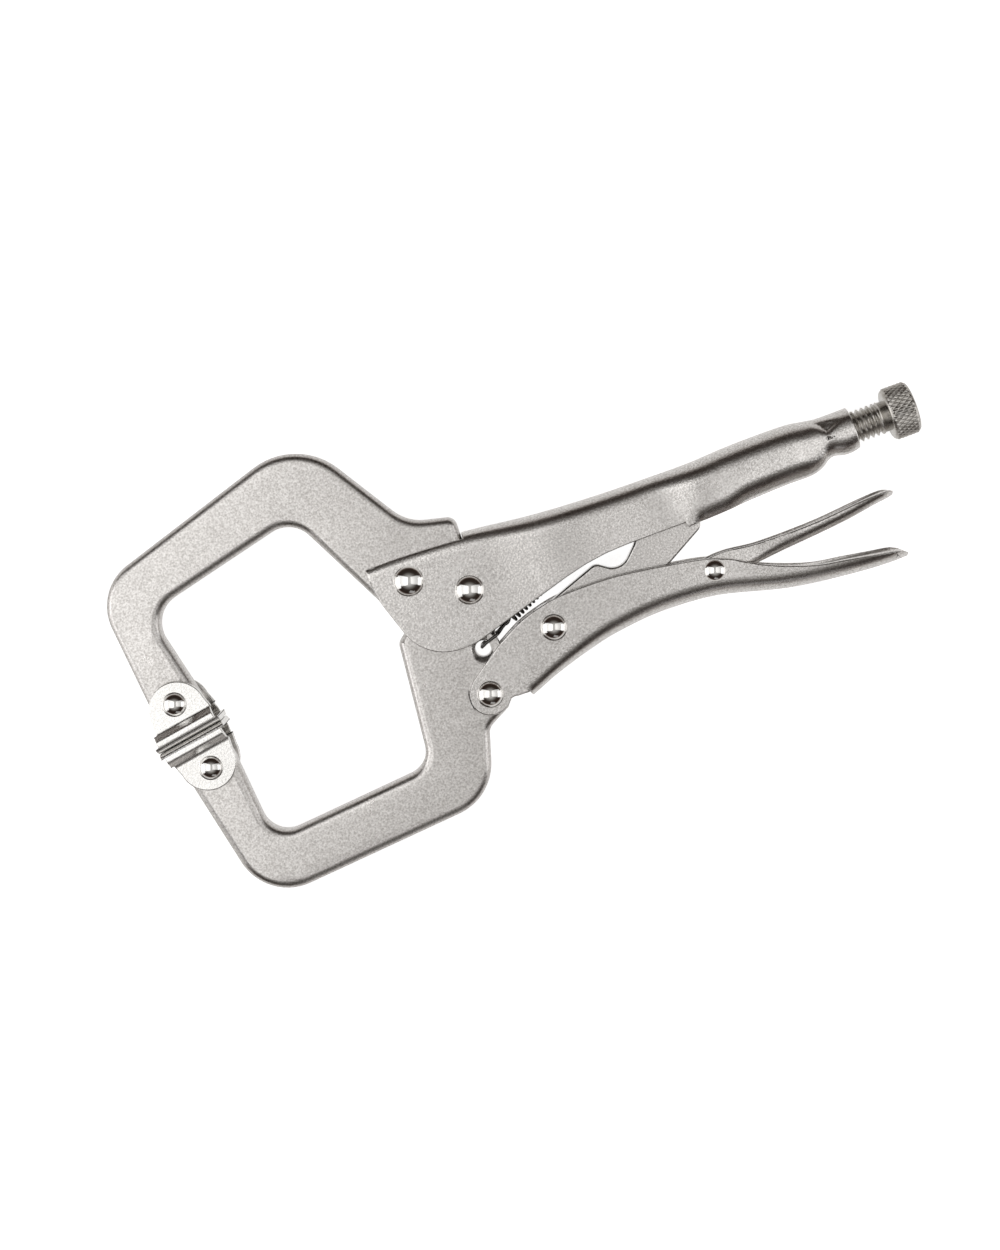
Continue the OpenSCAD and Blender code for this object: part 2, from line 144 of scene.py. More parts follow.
def turned_nickel(name, light, dark):
    """Nickel over turned steel, darker than the sheet parts, with soft cloudy patches of darker colour and
    changing roughness at random.
    """
    material, tree, shader, place = new_material(name, light, 0.26)
    cloud = noise(tree, place, 2.5 * MM, 4.0)
    tree.links.new(tint(tree, spread(tree, cloud, 0, 1), dark, light), shader.inputs["Base Color"])
    tree.links.new(spread(tree, cloud, 0.2, 0.34), shader.inputs["Roughness"])
    return material


def spring_steel(name):
    """Dark oiled spring wire."""
    material, tree, shader, place = new_material(name, (0.12, 0.115, 0.11), 0.3)
    spots = noise(tree, place, 1.2 * MM)
    tree.links.new(tint(tree, spots, (0.05, 0.05, 0.05), (0.2, 0.19, 0.18)), shader.inputs["Base Color"])
    return material


MATERIALS = {
    "satin_nickel": blasted_nickel("satin_nickel", (0.88, 0.86, 0.84), (0.54, 0.52, 0.5), 0.26),
    "satin_nickel_jaw": blasted_nickel("satin_nickel_jaw", (0.81, 0.79, 0.77), (0.46, 0.44, 0.42), 0.3),
    "bright_nickel": blasted_nickel("bright_nickel", (0.86, 0.85, 0.83), (0.72, 0.71, 0.69), 0.24),
    "polished_rivet": polished_steel("polished_rivet", (0.88, 0.87, 0.85)),
    "dark_nickel": turned_nickel("dark_nickel", (0.62, 0.6, 0.57), (0.4, 0.38, 0.35)),
    "black_spring_steel": spring_steel("black_spring_steel"),
}


# ---- making pieces ----


def finish_piece(mesh, name, node, smooth_angle=35):
    """Shows mesh in place of the CAD node, with the node's material."""
    piece = bpy.data.objects.new(name, mesh)
    bpy.context.scene.collection.objects.link(piece)
    mesh.materials.clear()
    mesh.materials.append(MATERIALS[slot_of_node[node]])
    mesh.shade_smooth()
    mesh.set_sharp_from_angle(angle=math.radians(smooth_angle))
    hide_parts(node)
    return piece


def apply_modifiers(piece):
    """Turns the piece's modifiers into its mesh."""
    graph = bpy.context.evaluated_depsgraph_get()
    made = bpy.data.meshes.new_from_object(piece.evaluated_get(graph))
    piece.modifiers.clear()
    piece.data = made


def keep_flat_faces_flat(piece):
    """Lets the large faces set the shading normals, so that a rounded edge doesn't shade its flat face."""
    weighted = piece.modifiers.new("flat faces stay flat", "WEIGHTED_NORMAL")
    weighted.keep_sharp = True
    weighted.weight = 80


def round_edges(piece, radius, angle, limit="ANGLE"):
    """Rounds the edges sharper than that angle in degrees, or with limit WEIGHT those that carry a weight."""
    bevel = piece.modifiers.new("rounding", "BEVEL")
    bevel.width = radius
    bevel.segments = 3
    bevel.limit_method = limit
    bevel.angle_limit = math.radians(angle)
    bevel.use_clamp_overlap = False


def subtract(piece, cutter_mesh):
    """Cuts the closed mesh away from the piece."""
    cutter = bpy.data.objects.new("cutter", cutter_mesh)
    bpy.context.scene.collection.objects.link(cutter)
    cut = piece.modifiers.new("cut", "BOOLEAN")
    cut.operation = "DIFFERENCE"
    cut.object = cutter
    apply_modifiers(piece)
    bpy.data.objects.remove(cutter)


def mesh_of(name, points, faces):
    """A mesh of those points and faces."""
    mesh = bpy.data.meshes.new(name)
    mesh.from_pydata([tuple(p) for p in points], [], faces)
    mesh.validate()
    mesh.update()
    return mesh


def welded(node):
    """A working copy of a CAD node's mesh with its split corners joined."""
    shape = bmesh.new()
    shape.from_mesh(frame["nodes"][node].data)
    bmesh.ops.remove_doubles(shape, verts=shape.verts, dist=1e-6)
    return shape


# ---- plates ----


def outline_loops(node, level):
    """The outlines of the flat face that a CAD node has at height level, with the solid on their left."""
    shape = welded(node)
    flat = {f for f in shape.faces if all(abs(v.co.z - level) < 0.001 * MM for v in f.verts)}
    following = {}
    for face in flat:
        for loop in face.loops:
            if sum(f in flat for f in loop.edge.link_faces) == 1:
                following[loop.vert] = loop.link_loop_next.vert
    loops = []
    while following:
        start = next(iter(following))
        loop = []
        vert = start
        while vert in following:
            if not loop or (vert.co.xy - loop[-1]).length > 0.05 * MM:
                loop.append(vert.co.xy.copy())
            vert = following.pop(vert)
        loops.append(loop)
    shape.free()
    return loops


def corner_inset(loop, i):
    """Which way, and how far for each metre of inset, corner i of an outline moves into the solid."""
    before = (loop[i] - loop[i - 1]).normalized()
    after = (loop[(i + 1) % len(loop)] - loop[i]).normalized()
    left = Vector((-before.y - after.y, before.x + after.x))
    sharpest = 0.35
    return left / max(sharpest, 1 + before.dot(after))


def safe_insets(loop, radius):
    """Moves of the corners for a metre of inset, smaller where an edge would turn round at the radius."""
    n = len(loop)
    moves = [corner_inset(loop, i) for i in range(n)]
    most_rounds = 30
    least_share = 0.1
    shrink = 0.85

    def turns_round(i):
        after = (i + 1) % n
        edge = loop[after] - loop[i]
        inset = loop[after] + moves[after] * radius - loop[i] - moves[i] * radius
        return inset.dot(edge) < least_share * edge.length_squared

    for _ in range(most_rounds):
        turned = [i for i in range(n) if turns_round(i)]
        if not turned:
            break
        for k in {k for i in turned for k in (i, (i + 1) % n)}:
            moves[k] = moves[k] * shrink
    return moves


def rounded_plate(name, loops, middle, thickness, radius):
    """A plate with those outlines, about height middle, with its rims rounded.

    Faces that the tessellation leaves with an open edge are deleted.
    """
    segments = 5
    turns = [math.pi / 2 * i / segments for i in range(segments + 1)]
    upper = [(radius * (1 - math.cos(t)), thickness / 2 - radius * (1 - math.sin(t))) for t in turns]
    rows = [(inset, -z) for inset, z in reversed(upper)] + upper
    points = []
    faces = []
    starts = []
    for loop in loops:
        n = len(loop)
        first = len(points)
        starts.append(first)
        moves = safe_insets(loop, radius)
        for inset, z in rows:
            points += [(*(loop[i] + moves[i] * inset), middle + z) for i in range(n)]
        for row in range(len(rows) - 1):
            for i in range(n):
                k = first + row * n
                faces.append((k + i, k + (i + 1) % n, k + n + (i + 1) % n, k + n + i))
    flat_ids = [starts[j] + i for j, loop in enumerate(loops) for i in range(len(loop))]
    depth_ids = [(len(rows) - 1) * len(loop) for loop in loops for _ in loop]
    inset_loops = [[Vector((*points[first + i][:2], 0)) for i in range(len(loop))]
                   for first, loop in zip(starts, loops)]
    for a, b, c in tessellate_polygon(inset_loops):
        if cross_2d(points[flat_ids[a]], points[flat_ids[b]], points[flat_ids[c]]) < 0:
            a, b = b, a
        faces.append((flat_ids[c], flat_ids[b], flat_ids[a]))
        faces.append(tuple(flat_ids[i] + depth_ids[i] for i in (a, b, c)))
    mesh = mesh_of(name, points, faces)
    shape = bmesh.new()
    shape.from_mesh(mesh)
    stray = [f for f in shape.faces if any(len(e.link_faces) == 1 for e in f.edges)]
    bmesh.ops.delete(shape, geom=stray, context="FACES")
    shape.to_mesh(mesh)
    shape.free()
    return mesh


def cross_2d(a, b, c):
    """Positive where a, b and c turn left."""
    return (b[0] - a[0]) * (c[1] - a[1]) - (b[1] - a[1]) * (c[0] - a[0])


def plate_piece(node, radius):
    """A rounded plate with the outline of the node's flat face."""
    low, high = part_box(node)
    loops = outline_loops(node, high.z)
    mesh = rounded_plate(node, loops, (low.z + high.z) / 2, high.z - low.z, radius)
    piece = finish_piece(mesh, node + "_plate", node)
    keep_flat_faces_flat(piece)
    apply_modifiers(piece)
    return piece


# ---- turned and rolled pieces ----


def revolved(name, profile, centre, across, along, columns=64, shift=None):
    """A closed surface of revolution.  The profile is a list of (radius, distance along), from end to end.

    shift(turn, distance) may change the radius, with the turn counted in whole turns.
    """
    other = along.cross(across)
    points = [centre + along * profile[0][1]]
    for radius, distance in profile[1:-1]:
        for i in range(columns):
            turn = i / columns
            r = radius + (shift(turn, distance) if shift else 0)
            angle = 2 * math.pi * turn
            side = across * math.cos(angle) + other * math.sin(angle)
            points.append(centre + along * distance + side * r)
    points.append(centre + along * profile[-1][1])
    last = len(points) - 1
    faces = [(0, 1 + (i + 1) % columns, 1 + i) for i in range(columns)]
    for row in range(len(profile) - 3):
        k = 1 + row * columns
        faces += [(k + i, k + (i + 1) % columns, k + columns + (i + 1) % columns, k + columns + i)
                  for i in range(columns)]
    k = 1 + (len(profile) - 3) * columns
    faces += [(k + i, k + (i + 1) % columns, last) for i in range(columns)]
    return mesh_of(name, points, faces)


DOME_HEIGHT = {"release_rivet": 1.9 * MM, "upper_pad_rivet": 2.7 * MM, "lower_pad_rivet": 2.7 * MM}


def rivet_piece(node):
    """A rivet with two polished domes, each on a short rolled rim."""
    shank_share = 0.62
    rim = 0.35 * MM
    low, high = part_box(node)
    centre = (low + high) / 2
    top = (high.z - low.z) / 2
    head = (high.x - low.x) / 2
    dome = DOME_HEIGHT.get(node, 2.8 * MM)
    ball = (head ** 2 + (dome - rim) ** 2) / (2 * (dome - rim))
    reach = math.asin(head / ball)
    half = top - dome
    upper = [(head * shank_share, half), (head - 0.15 * MM, half), (head, half + rim * 0.4)]
    upper += [(ball * math.sin(reach * (1 - i / 14)), top - ball + ball * math.cos(reach * (1 - i / 14)))
              for i in range(15)]
    lower = [(r, -z) for r, z in reversed(upper)]
    mesh = revolved(node, lower + upper, centre, Vector((1, 0, 0)), Vector((0, 0, 1)))
    piece = finish_piece(mesh, node + "_domed", node)
    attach(piece, body_of_node[node])


def saw(value):
    """Triangle wave of period 1, from 0 at whole values to 1 halfway."""
    return 1 - abs(1 - 2 * (value % 1))


def knob_piece():
    """The knob, with a diamond knurl between chamfered rims and a dished end."""
    low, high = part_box("screw_knob")
    radius = (high.y - low.y) / 2
    length = high.x - low.x
    centre = Vector((low.x, (low.y + high.y) / 2, (low.z + high.z) / 2))
    chamfer = 1.2 * MM
    depth = 0.42 * MM
    crossings = 34

    def knurl(turn, x):
        plain = max(0, min(1, (min(x, length - x) - 0.5 * chamfer) / (0.5 * chamfer)))
        lean = x * crossings / (2 * math.pi * radius) * 0.62
        return -depth * plain * (1 - min(saw(crossings * turn + lean), saw(crossings * turn - lean)) ** 0.7)

    rows = 64
    profile = [(0, 0), (3.6 * MM, 0), (radius - chamfer, 0)]
    profile += [(radius - max(0, chamfer - min(x, length - x)) * 0.8, x)
                for x in (length * i / rows for i in range(1, rows))]
    profile += [(radius - chamfer, length), (radius - 2.4 * MM, length), (radius - 3 * MM, length - 0.4 * MM),
                (0, length - 0.5 * MM)]
    mesh = revolved("screw_knob", profile, centre, Vector((0, 1, 0)), Vector((1, 0, 0)), 408, knurl)
    piece = finish_piece(mesh, "screw_knob_knurled", "screw_knob", 50)
    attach(piece, body_of_node["screw_knob"])


def screw_piece():
    """The adjusting screw, with its helix, nose, plain shank and the stub inside the knob."""
    low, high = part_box("adjusting_screw")
    knob_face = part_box("screw_knob")[0].x
    radius = (high.y - low.y) / 2
    centre = Vector((low.x, (low.y + high.y) / 2, (low.z + high.z) / 2))
    pitch = 2 * math.pi / next(
        c["ratio"] for c in frame["record"]["behaviour"]["couplings"] if c["joint"] == "knob_turn")
    depth = 0.6 * pitch
    nose = 4 * MM
    plain = 2.4 * MM
    shank = 5.2 * MM
    thread_end = knob_face - low.x - plain

    def helix(turn, x):
        fade = max(0, min(1, (x - nose) / pitch, (thread_end - x) / (0.6 * pitch)))
        return -depth * fade * max(0, min(1, 1.35 * saw(x / pitch - turn) - 0.15))

    rows = 10 * round((thread_end - nose) / pitch)
    profile = [(0, 0), (3 * MM, 0), (4 * MM, 1 * MM), (4 * MM, nose - 0.01 * MM)]
    profile += [(radius, nose + (thread_end - nose) * i / rows) for i in range(rows + 1)]
    profile += [(shank, thread_end + 0.3 * MM), (shank, knob_face - low.x), (3.5 * MM, knob_face - low.x),
                (3.5 * MM, high.x - low.x), (0, high.x - low.x)]
    mesh = revolved("adjusting_screw", profile, centre, Vector((0, 1, 0)), Vector((1, 0, 0)), 64, helix)
    piece = finish_piece(mesh, "adjusting_screw_threaded", "adjusting_screw", 50)
    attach(piece, body_of_node["adjusting_screw"])


# ---- spring ----


def wire_mesh(name, path, radius):
    """A round wire along the points of path."""
    curve = bpy.data.curves.new(name, "CURVE")
    curve.dimensions = "3D"
    curve.bevel_depth = radius
    curve.bevel_resolution = 3
    curve.use_fill_caps = True
    curve.twist_mode = "MINIMUM"
    spline = curve.splines.new("POLY")
    spline.points.add(len(path) - 1)
    for point, place in zip(spline.points, path):
        point.co = (*place, 1)
    wire = bpy.data.objects.new(name, curve)
    bpy.context.scene.collection.objects.link(wire)
    mesh = bpy.data.meshes.new_from_object(wire.evaluated_get(bpy.context.evaluated_depsgraph_get()))
    bpy.data.objects.remove(wire)
    shape = bmesh.new()
    shape.from_mesh(mesh)
    bmesh.ops.remove_doubles(shape, verts=shape.verts, dist=1e-6)
    shape.to_mesh(mesh)
    shape.free()
    return mesh


def smooth_path(points):
    """Points on a smooth curve through the given ones, five for each span."""
    per_span = 5
    path = []
    for i in range(len(points) - 1):
        a = points[max(0, i - 1)]
        b = points[i]
        c = points[i + 1]
        d = points[min(len(points) - 1, i + 2)]
        for k in range(per_span):
            t = k / per_span
            path.append(0.5 * (2 * b + (c - a) * t + (2 * a - 5 * b + 4 * c - d) * t * t
                               + (3 * b - a - 3 * c + d) * t ** 3))
    return path + [points[-1]]


def spring_piece():
    """The tension spring: a close coil between the hook in the moving jaw and the tab in the fixed handle."""
    hole = PIVOT + Vector((-2.7, -19.6, 0)) * MM
    tab = PIVOT + Vector((45, 2.8, 0)) * MM
    line = (tab - hole).normalized()
    across = Vector((-line.y, line.x, 0))
    up = Vector((0, 0, 1))

    def at(along, side, z):
        """A point that many millimetres along, beside and above the line from the hole to the tab."""
        return hole + (line * along + across * side + up * z) * MM

    wire = 0.55 * MM
    coil_r = 1.95
    coil_start = 13
    coil_end = 43.4
    turns = 18
    loop_z = 5.2
    bend_x = 1.1
    bend_r = 1.3
    hook = [at(coil_start - 2, 0, -1.4), at(10, -0.2, -2.2), at(7.5, -0.6, -3.8)]
    hook += [at(6.2, -0.6, -loop_z + 0.1), at(4, -0.3, -loop_z), at(1.8, 0, -loop_z)]
    hook += [at(bend_x - bend_r * math.cos(a), 0, math.copysign(loop_z - bend_r, a) + bend_r * math.sin(a))
             for a in (-1.4, -0.8, -0.3, 0.3, 0.8, 1.4)]
    hook += [at(1.8, 0, loop_z), at(4, -0.3, loop_z), at(6.2, -0.6, loop_z - 0.1), at(7.5, -0.6, 3.8)]
    hook += [at(10, -0.2, 2.6), at(coil_start - 1.4, -0.5, coil_r)]
    coil = []
    for i in range(24 * turns + 1):
        angle = math.pi * i / 12
        along = coil_start + (coil_end - coil_start) * i / (24 * turns)
        coil.append(at(along, coil_r * math.sin(angle), coil_r * math.cos(angle)))
    tail = [at(coil_end + 1.4, 0.4, coil_r), at(coil_end + 3.5, 0, 1.6), at(coil_end + 8, 0, 1.6)]
    path = smooth_path(hook + [coil[0]]) + coil[1:-1] + smooth_path([coil[-1]] + tail)
    piece = finish_piece(wire_mesh("tension_spring", path, wire), "tension_spring_coil", "tension_spring", 60)
    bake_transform(piece)


# ---- folded sheets ----

# The outlines and sizes of the sheets are in millimetres from the jaw pivot, seen along the rivets.

# Thickness of the handles' sheet, half the slot between their sides, and half their width outside
SHEET = 1.9
SLOT_HALF = 4.65
SHEET_HALF = SLOT_HALF + SHEET

# Steps along a half section: up its side to the slot's edge, and on to the middle of its spine
SIDE = 26
CROWN = 7


def steps(low, high, count):
    """count + 1 evenly spaced values from low to high."""
    return [low + (high - low) * i / count for i in range(count + 1)]


def ease(a, b, start, end, x):
    """Goes smoothly from a at start to b at end."""
    t = max(0, min(1, (x - start) / (end - start)))
    return a + (b - a) * t * t * (3 - 2 * t)


def height_at(points, x):
    """Height at x of the smooth curve through the points, which are (x, height)."""
    i = max(0, min(len(points) - 2, sum(p[0] <= x for p in points) - 1))

    def slope(k):
        a = points[max(0, k - 1)]
        b = points[min(len(points) - 1, k + 1)]
        return (b[1] - a[1]) / (b[0] - a[0])

    (x0, y0), (x1, y1) = points[i], points[i + 1]
    t = (x - x0) / (x1 - x0)
    bend = (1 - t) * t * ((1 - t) * slope(i) - t * slope(i + 1)) * (x1 - x0)
    return (1 - t) ** 2 * (1 + 2 * t) * y0 + t * t * (3 - 2 * t) * y1 + bend


def rounded_end(x, end, length):
    """Share of the full width at x on a tip that is rounded over that length."""
    least = 0.4
    t = max(0, (x - end + length) / length)
    return least + (1 - least) * math.sqrt(max(0, 1 - t * t))


def rounded_line(corners):
    """A line through (x, y, radius) corners, each but the first and the last rounded by its radius."""
    line = [Vector(corners[0][:2])]
    for i in range(1, len(corners) - 1):
        here = Vector(corners[i][:2])
        to_a = (Vector(corners[i - 1][:2]) - here).normalized()
        to_b = (Vector(corners[i + 1][:2]) - here).normalized()
        half = to_a.angle(to_b) / 2
        centre = here + (to_a + to_b).normalized() * corners[i][2] / math.sin(half)
        first = here + to_a * corners[i][2] / math.tan(half) - centre
        turn = math.copysign(math.pi - 2 * half, -to_a.cross(to_b))
        for t in steps(0, turn, max(1, math.ceil(abs(turn) / 0.1))):
            line.append(centre + Matrix.Rotation(t, 2) @ first)
    return line + [Vector(corners[-1][:2])]


def along_line(line, count):
    """count + 1 points spaced evenly along a line."""
    line = [line[0]] + [b for a, b in zip(line, line[1:]) if (b - a).length > 1e-5]
    if len(line) == 1:
        return line * (count + 1)
    marks = [0]
    for a, b in zip(line, line[1:]):
        marks.append(marks[-1] + (b - a).length)
    points = []
    k = 0
    for distance in steps(0, marks[-1], count):
        while k < len(line) - 2 and marks[k + 1] < distance:
            k += 1
        points.append(line[k].lerp(line[k + 1], (distance - marks[k]) / (marks[k + 1] - marks[k])))
    return points


def fold_line(spine, edge, half_w, bend_r, sheet, low_r, curl):
    """Half of a folded sheet's middle line as (z, y), from the cut edge up to the middle of the spine.

    The cut edge is rolled inwards by curl degrees on radius low_r.
    """
    middle = sheet / 2
    roll = math.radians(curl)
    line = []
    for a in steps(-roll, 0, 16 if curl else 1):
        line.append(Vector((half_w - low_r + (low_r - middle) * math.cos(a),
                            edge + low_r * math.sin(roll) + (low_r - middle) * math.sin(a))))
    for a in steps(0, math.pi / 2, 24):
        line.append(Vector((half_w - bend_r + (bend_r - middle) * math.cos(a),
                            spine - bend_r + (bend_r - middle) * math.sin(a))))
    return line + [Vector((0, spine - middle))]


def cut_line(line, axis, low, high):
    """The part of a line whose coordinate on that axis lies between low and high."""
    kept = []
    for a, b in zip(line, line[1:]):
        for limit in sorted((low, high), reverse=a[axis] > b[axis]):
            if min(a[axis], b[axis]) < limit < max(a[axis], b[axis]):
                kept.append(a.lerp(b, (limit - a[axis]) / (b[axis] - a[axis])))
        if low <= b[axis] <= high:
            kept.append(b)
    if low <= line[0][axis] <= high:
        kept.insert(0, line[0])
    return kept


def fold_section(up, top, low, half_w, bend_r, sheet, low_r, curl=0, stop=None, slot=True):
    """Points of half a folded sheet at one station, from its cut edge to the middle of its spine.

    top and low are the (x, y) of the spine and of the cut edge; up is 1 for a spine above, -1 for one below.
    SIDE steps reach the slot, CROWN more close the spine.  Where stop is given the sheet ends at that height.
    """
    edge = up * low[1]
    line = fold_line(up * top[1], min(edge, up * top[1] - bend_r), half_w, bend_r, sheet, low_r, curl)
    line = cut_line(line, 1, edge - 0.001, up * stop if stop is not None else 1000)
    k = len(line) - 1
    while slot and k and line[k].x < SLOT_HALF:
        k -= 1
    crown = cut_line(line[k:], 0, -1, SLOT_HALF)
    side = line[:k + 1] + crown[:1]
    side_is_short = k < 6 < len(crown)
    if not slot or side_is_short:
        half = along_line(line, SIDE + CROWN)
    elif len(crown) < 2:
        half = along_line(line, SIDE) + [line[-1]] * CROWN
    else:
        half = along_line(side, SIDE) + along_line(crown, CROWN)[1:]
    tall = max(0.001, up * top[1] - bend_r - edge)
    points = []
    for z, y in half:
        lean = max(0, min(1, (y - edge) / tall))
        points.append(Vector((low[0] + (top[0] - low[0]) * lean, up * y, z)))
    return points


def folded_sheet(name, sections, open_rows):
    """The whole sheet of which sections are the near half.  The spine is cut away before row open_rows."""
    rows = []
    for section in sections:
        far = [Vector((p.x, p.y, -p.z)) for p in reversed(section[:-1])]
        rows.append([PIVOT + p * MM for p in section + far])
    columns = len(rows[0])
    faces = []
    for i in range(len(rows) - 1):
        for j in range(columns - 1):
            if i >= open_rows or j < SIDE or j >= columns - 1 - SIDE:
                k = i * columns + j
                faces.append((k, k + 1, k + columns + 1, k + columns))
    mesh = mesh_of(name, [p for row in rows for p in row], faces)
    shape = bmesh.new()
    shape.from_mesh(mesh)
    bmesh.ops.delete(shape, geom=[v for v in shape.verts if not v.link_faces], context="VERTS")
    bmesh.ops.remove_doubles(shape, verts=shape.verts, dist=0.02 * MM)
    shape.to_mesh(mesh)
    shape.free()
    return mesh


def folded_piece(mesh, name, node, thickness, rounding):
    """A folded sheet of that thickness about the mesh, with its cut edges rounded."""
    piece = finish_piece(mesh, name, node)
    solid = piece.modifiers.new("sheet", "SOLIDIFY")
    solid.thickness = thickness
    solid.offset = 0
    solid.use_even_offset = False
    round_edges(piece, rounding, 50)
    keep_flat_faces_flat(piece)
    apply_modifiers(piece)
    return piece


# ---- the pieces ----


def jaw_pieces():
    """The two jaws and the toggle link.  The moving jaw is cut to a fork at the pivot."""
    fork_cut_radius = 10.3 * MM
    fork_cut_height = 3 * MM
    cut = revolved("fork", [(0, -fork_cut_height / 2), (fork_cut_radius, -fork_cut_height / 2),
                            (fork_cut_radius, fork_cut_height / 2), (0, fork_cut_height / 2)],
                   PIVOT, Vector((1, 0, 0)), Vector((0, 0, 1)))
    for node, radius in (("fixed_jaw", 3 * MM), ("moving_jaw", 3 * MM), ("toggle_link", 0.8 * MM)):
        piece = plate_piece(node, radius)
        if node == "moving_jaw":
            subtract(piece, cut)
        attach(piece, body_of_node[node])


def meets_narrowly(edge, sharp):
    """True if another sharp edge leaves either end of this one close to its own direction."""
    narrow = math.radians(25)
    for vert in edge.verts:
        along = edge.other_vert(vert).co - vert.co
        for other in vert.link_edges:
            if other is edge or other not in sharp:
                continue
            if along.angle(other.other_vert(vert).co - vert.co, 0) < narrow:
                return True
    return False


def rounded_copy(node, radius):
    """The CAD node's own shape with its sheet edges rounded.

    Sharp edges that meet narrowly stay sharp, because their rounding would run out to a long spike.
    """
    sharp_from = 45
    flat_below = math.radians(0.6)
    shortest = 0.1 * MM
    shape = welded(node)
    bmesh.ops.dissolve_limit(shape, angle_limit=flat_below, verts=shape.verts, edges=shape.edges)
    weight = shape.edges.layers.float.new("bevel_weight_edge")
    sharp = {e for e in shape.edges if e.calc_face_angle(0) > math.radians(sharp_from)}
    for edge in sharp:
        if edge.calc_length() > shortest and not meets_narrowly(edge, sharp):
            edge[weight] = 1
    mesh = bpy.data.meshes.new(node)
    shape.to_mesh(mesh)
    shape.free()
    piece = finish_piece(mesh, node + "_folded", node)
    round_edges(piece, radius, sharp_from, "WEIGHT")
    keep_flat_faces_flat(piece)
    apply_modifiers(piece)
    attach(piece, body_of_node[node])


def crimp(x, y):
    """Share by which the side is pressed in by the two three-cornered crimps that grip the neck."""
    corners = [Vector((124.5, 12.6)), Vector((137.5, 10)), Vector((129.5, 6.6))]
    inside = []
    for a, b in zip(corners, corners[1:] + corners[:1]):
        side = (a - b).normalized()
        inside.append(side.x * (y - a.y) - side.y * (x - a.x))
    return 0.17 * ease(0, 1, 0, 1.1, min(inside)) * ease(1, 0, 129, 137.5, x)


def fixed_handle_piece():
    """The fixed handle: flat cheeks with a round front lobe, a folded spine, a rolled grip and the neck."""
    back = [(-34, 20), (-18, 20.1), (4, 18.8), (29, 16), (51, 14.7), (70, 14.3), (84, 14.2), (95, 14.8),
            (105, 15), (118, 14.8), (124, 13.9), (128, 13.3), (139, 13.3)]
    grip_low = [(76, -5.7), (84, -5.5), (100, -4.7), (112, -4.2), (121, -4.2), (125, -3), (127.5, -1.3),
                (130, -0.7), (134, -1.6), (137, -1.5), (139, -0.9)]
    front = -30.5
    grip_start = 76
    neck_end = 139
    upright_from = 20
    spine_from = 3.5
    cheek = rounded_line([(front, 15, 0), (-30.2, 8.2, 25), (-21.9, -17.8, 17), (-4.4, -17.8, 22),
                          (43, -3.95, 80), (grip_start, -3.95, 0)])
    edge = along_line(cheek, 100)
    leaning = [p for p in edge if p.x < upright_from]
    stations = [(x, p.x, p.y) for x, p in zip(steps(front, upright_from, len(leaning) - 1), leaning)]
    stations += [(p.x, p.x, p.y) for p in edge[len(leaning):]]
    stations += [(x, x, height_at(grip_low, x)) for x in steps(grip_start + 0.1, neck_end, 80)]
    sections = []
    for top_x, low_x, low_y in stations:
        half_w = ease(SHEET_HALF, 7.6, 68, 84, top_x) + ease(0, 7.3 - 7.6, 119, 128, top_x)
        half_w += ease(0, 0.9, 10, 34, top_x) - ease(0, 0.9, 36, 66, top_x)
        curl = ease(0, 50, grip_start - 1, 82, top_x) + ease(0, 30, 90, 100, top_x)
        bend_r = ease(5, 6.5, 3.5, 30, top_x) + ease(0, 0.8, 55, 90, top_x)
        top = (top_x, height_at(back, top_x))
        section = fold_section(1, top, (low_x, low_y), half_w, min(half_w, bend_r), SHEET,
                               min(half_w, 7.3), curl)
        middle = (top[1] + low_y) / 2
        swell = 0.12 * (ease(0, 1, 70, 90, top_x) - ease(0, 1, 117, 126, top_x))
        for p in section:
            p.z *= (1 + swell * (1 - ((p.y - middle) / (top[1] - middle)) ** 2)) * (1 - crimp(p.x, p.y))
        sections.append(section)
    open_rows = sum(station[0] < spine_from for station in stations)
    mesh = folded_sheet("fixed_handle", sections, open_rows)
    piece = folded_piece(mesh, "fixed_handle_folded", "fixed_handle", SHEET * MM, 0.35 * MM)
    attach(piece, body_of_node["fixed_handle"])


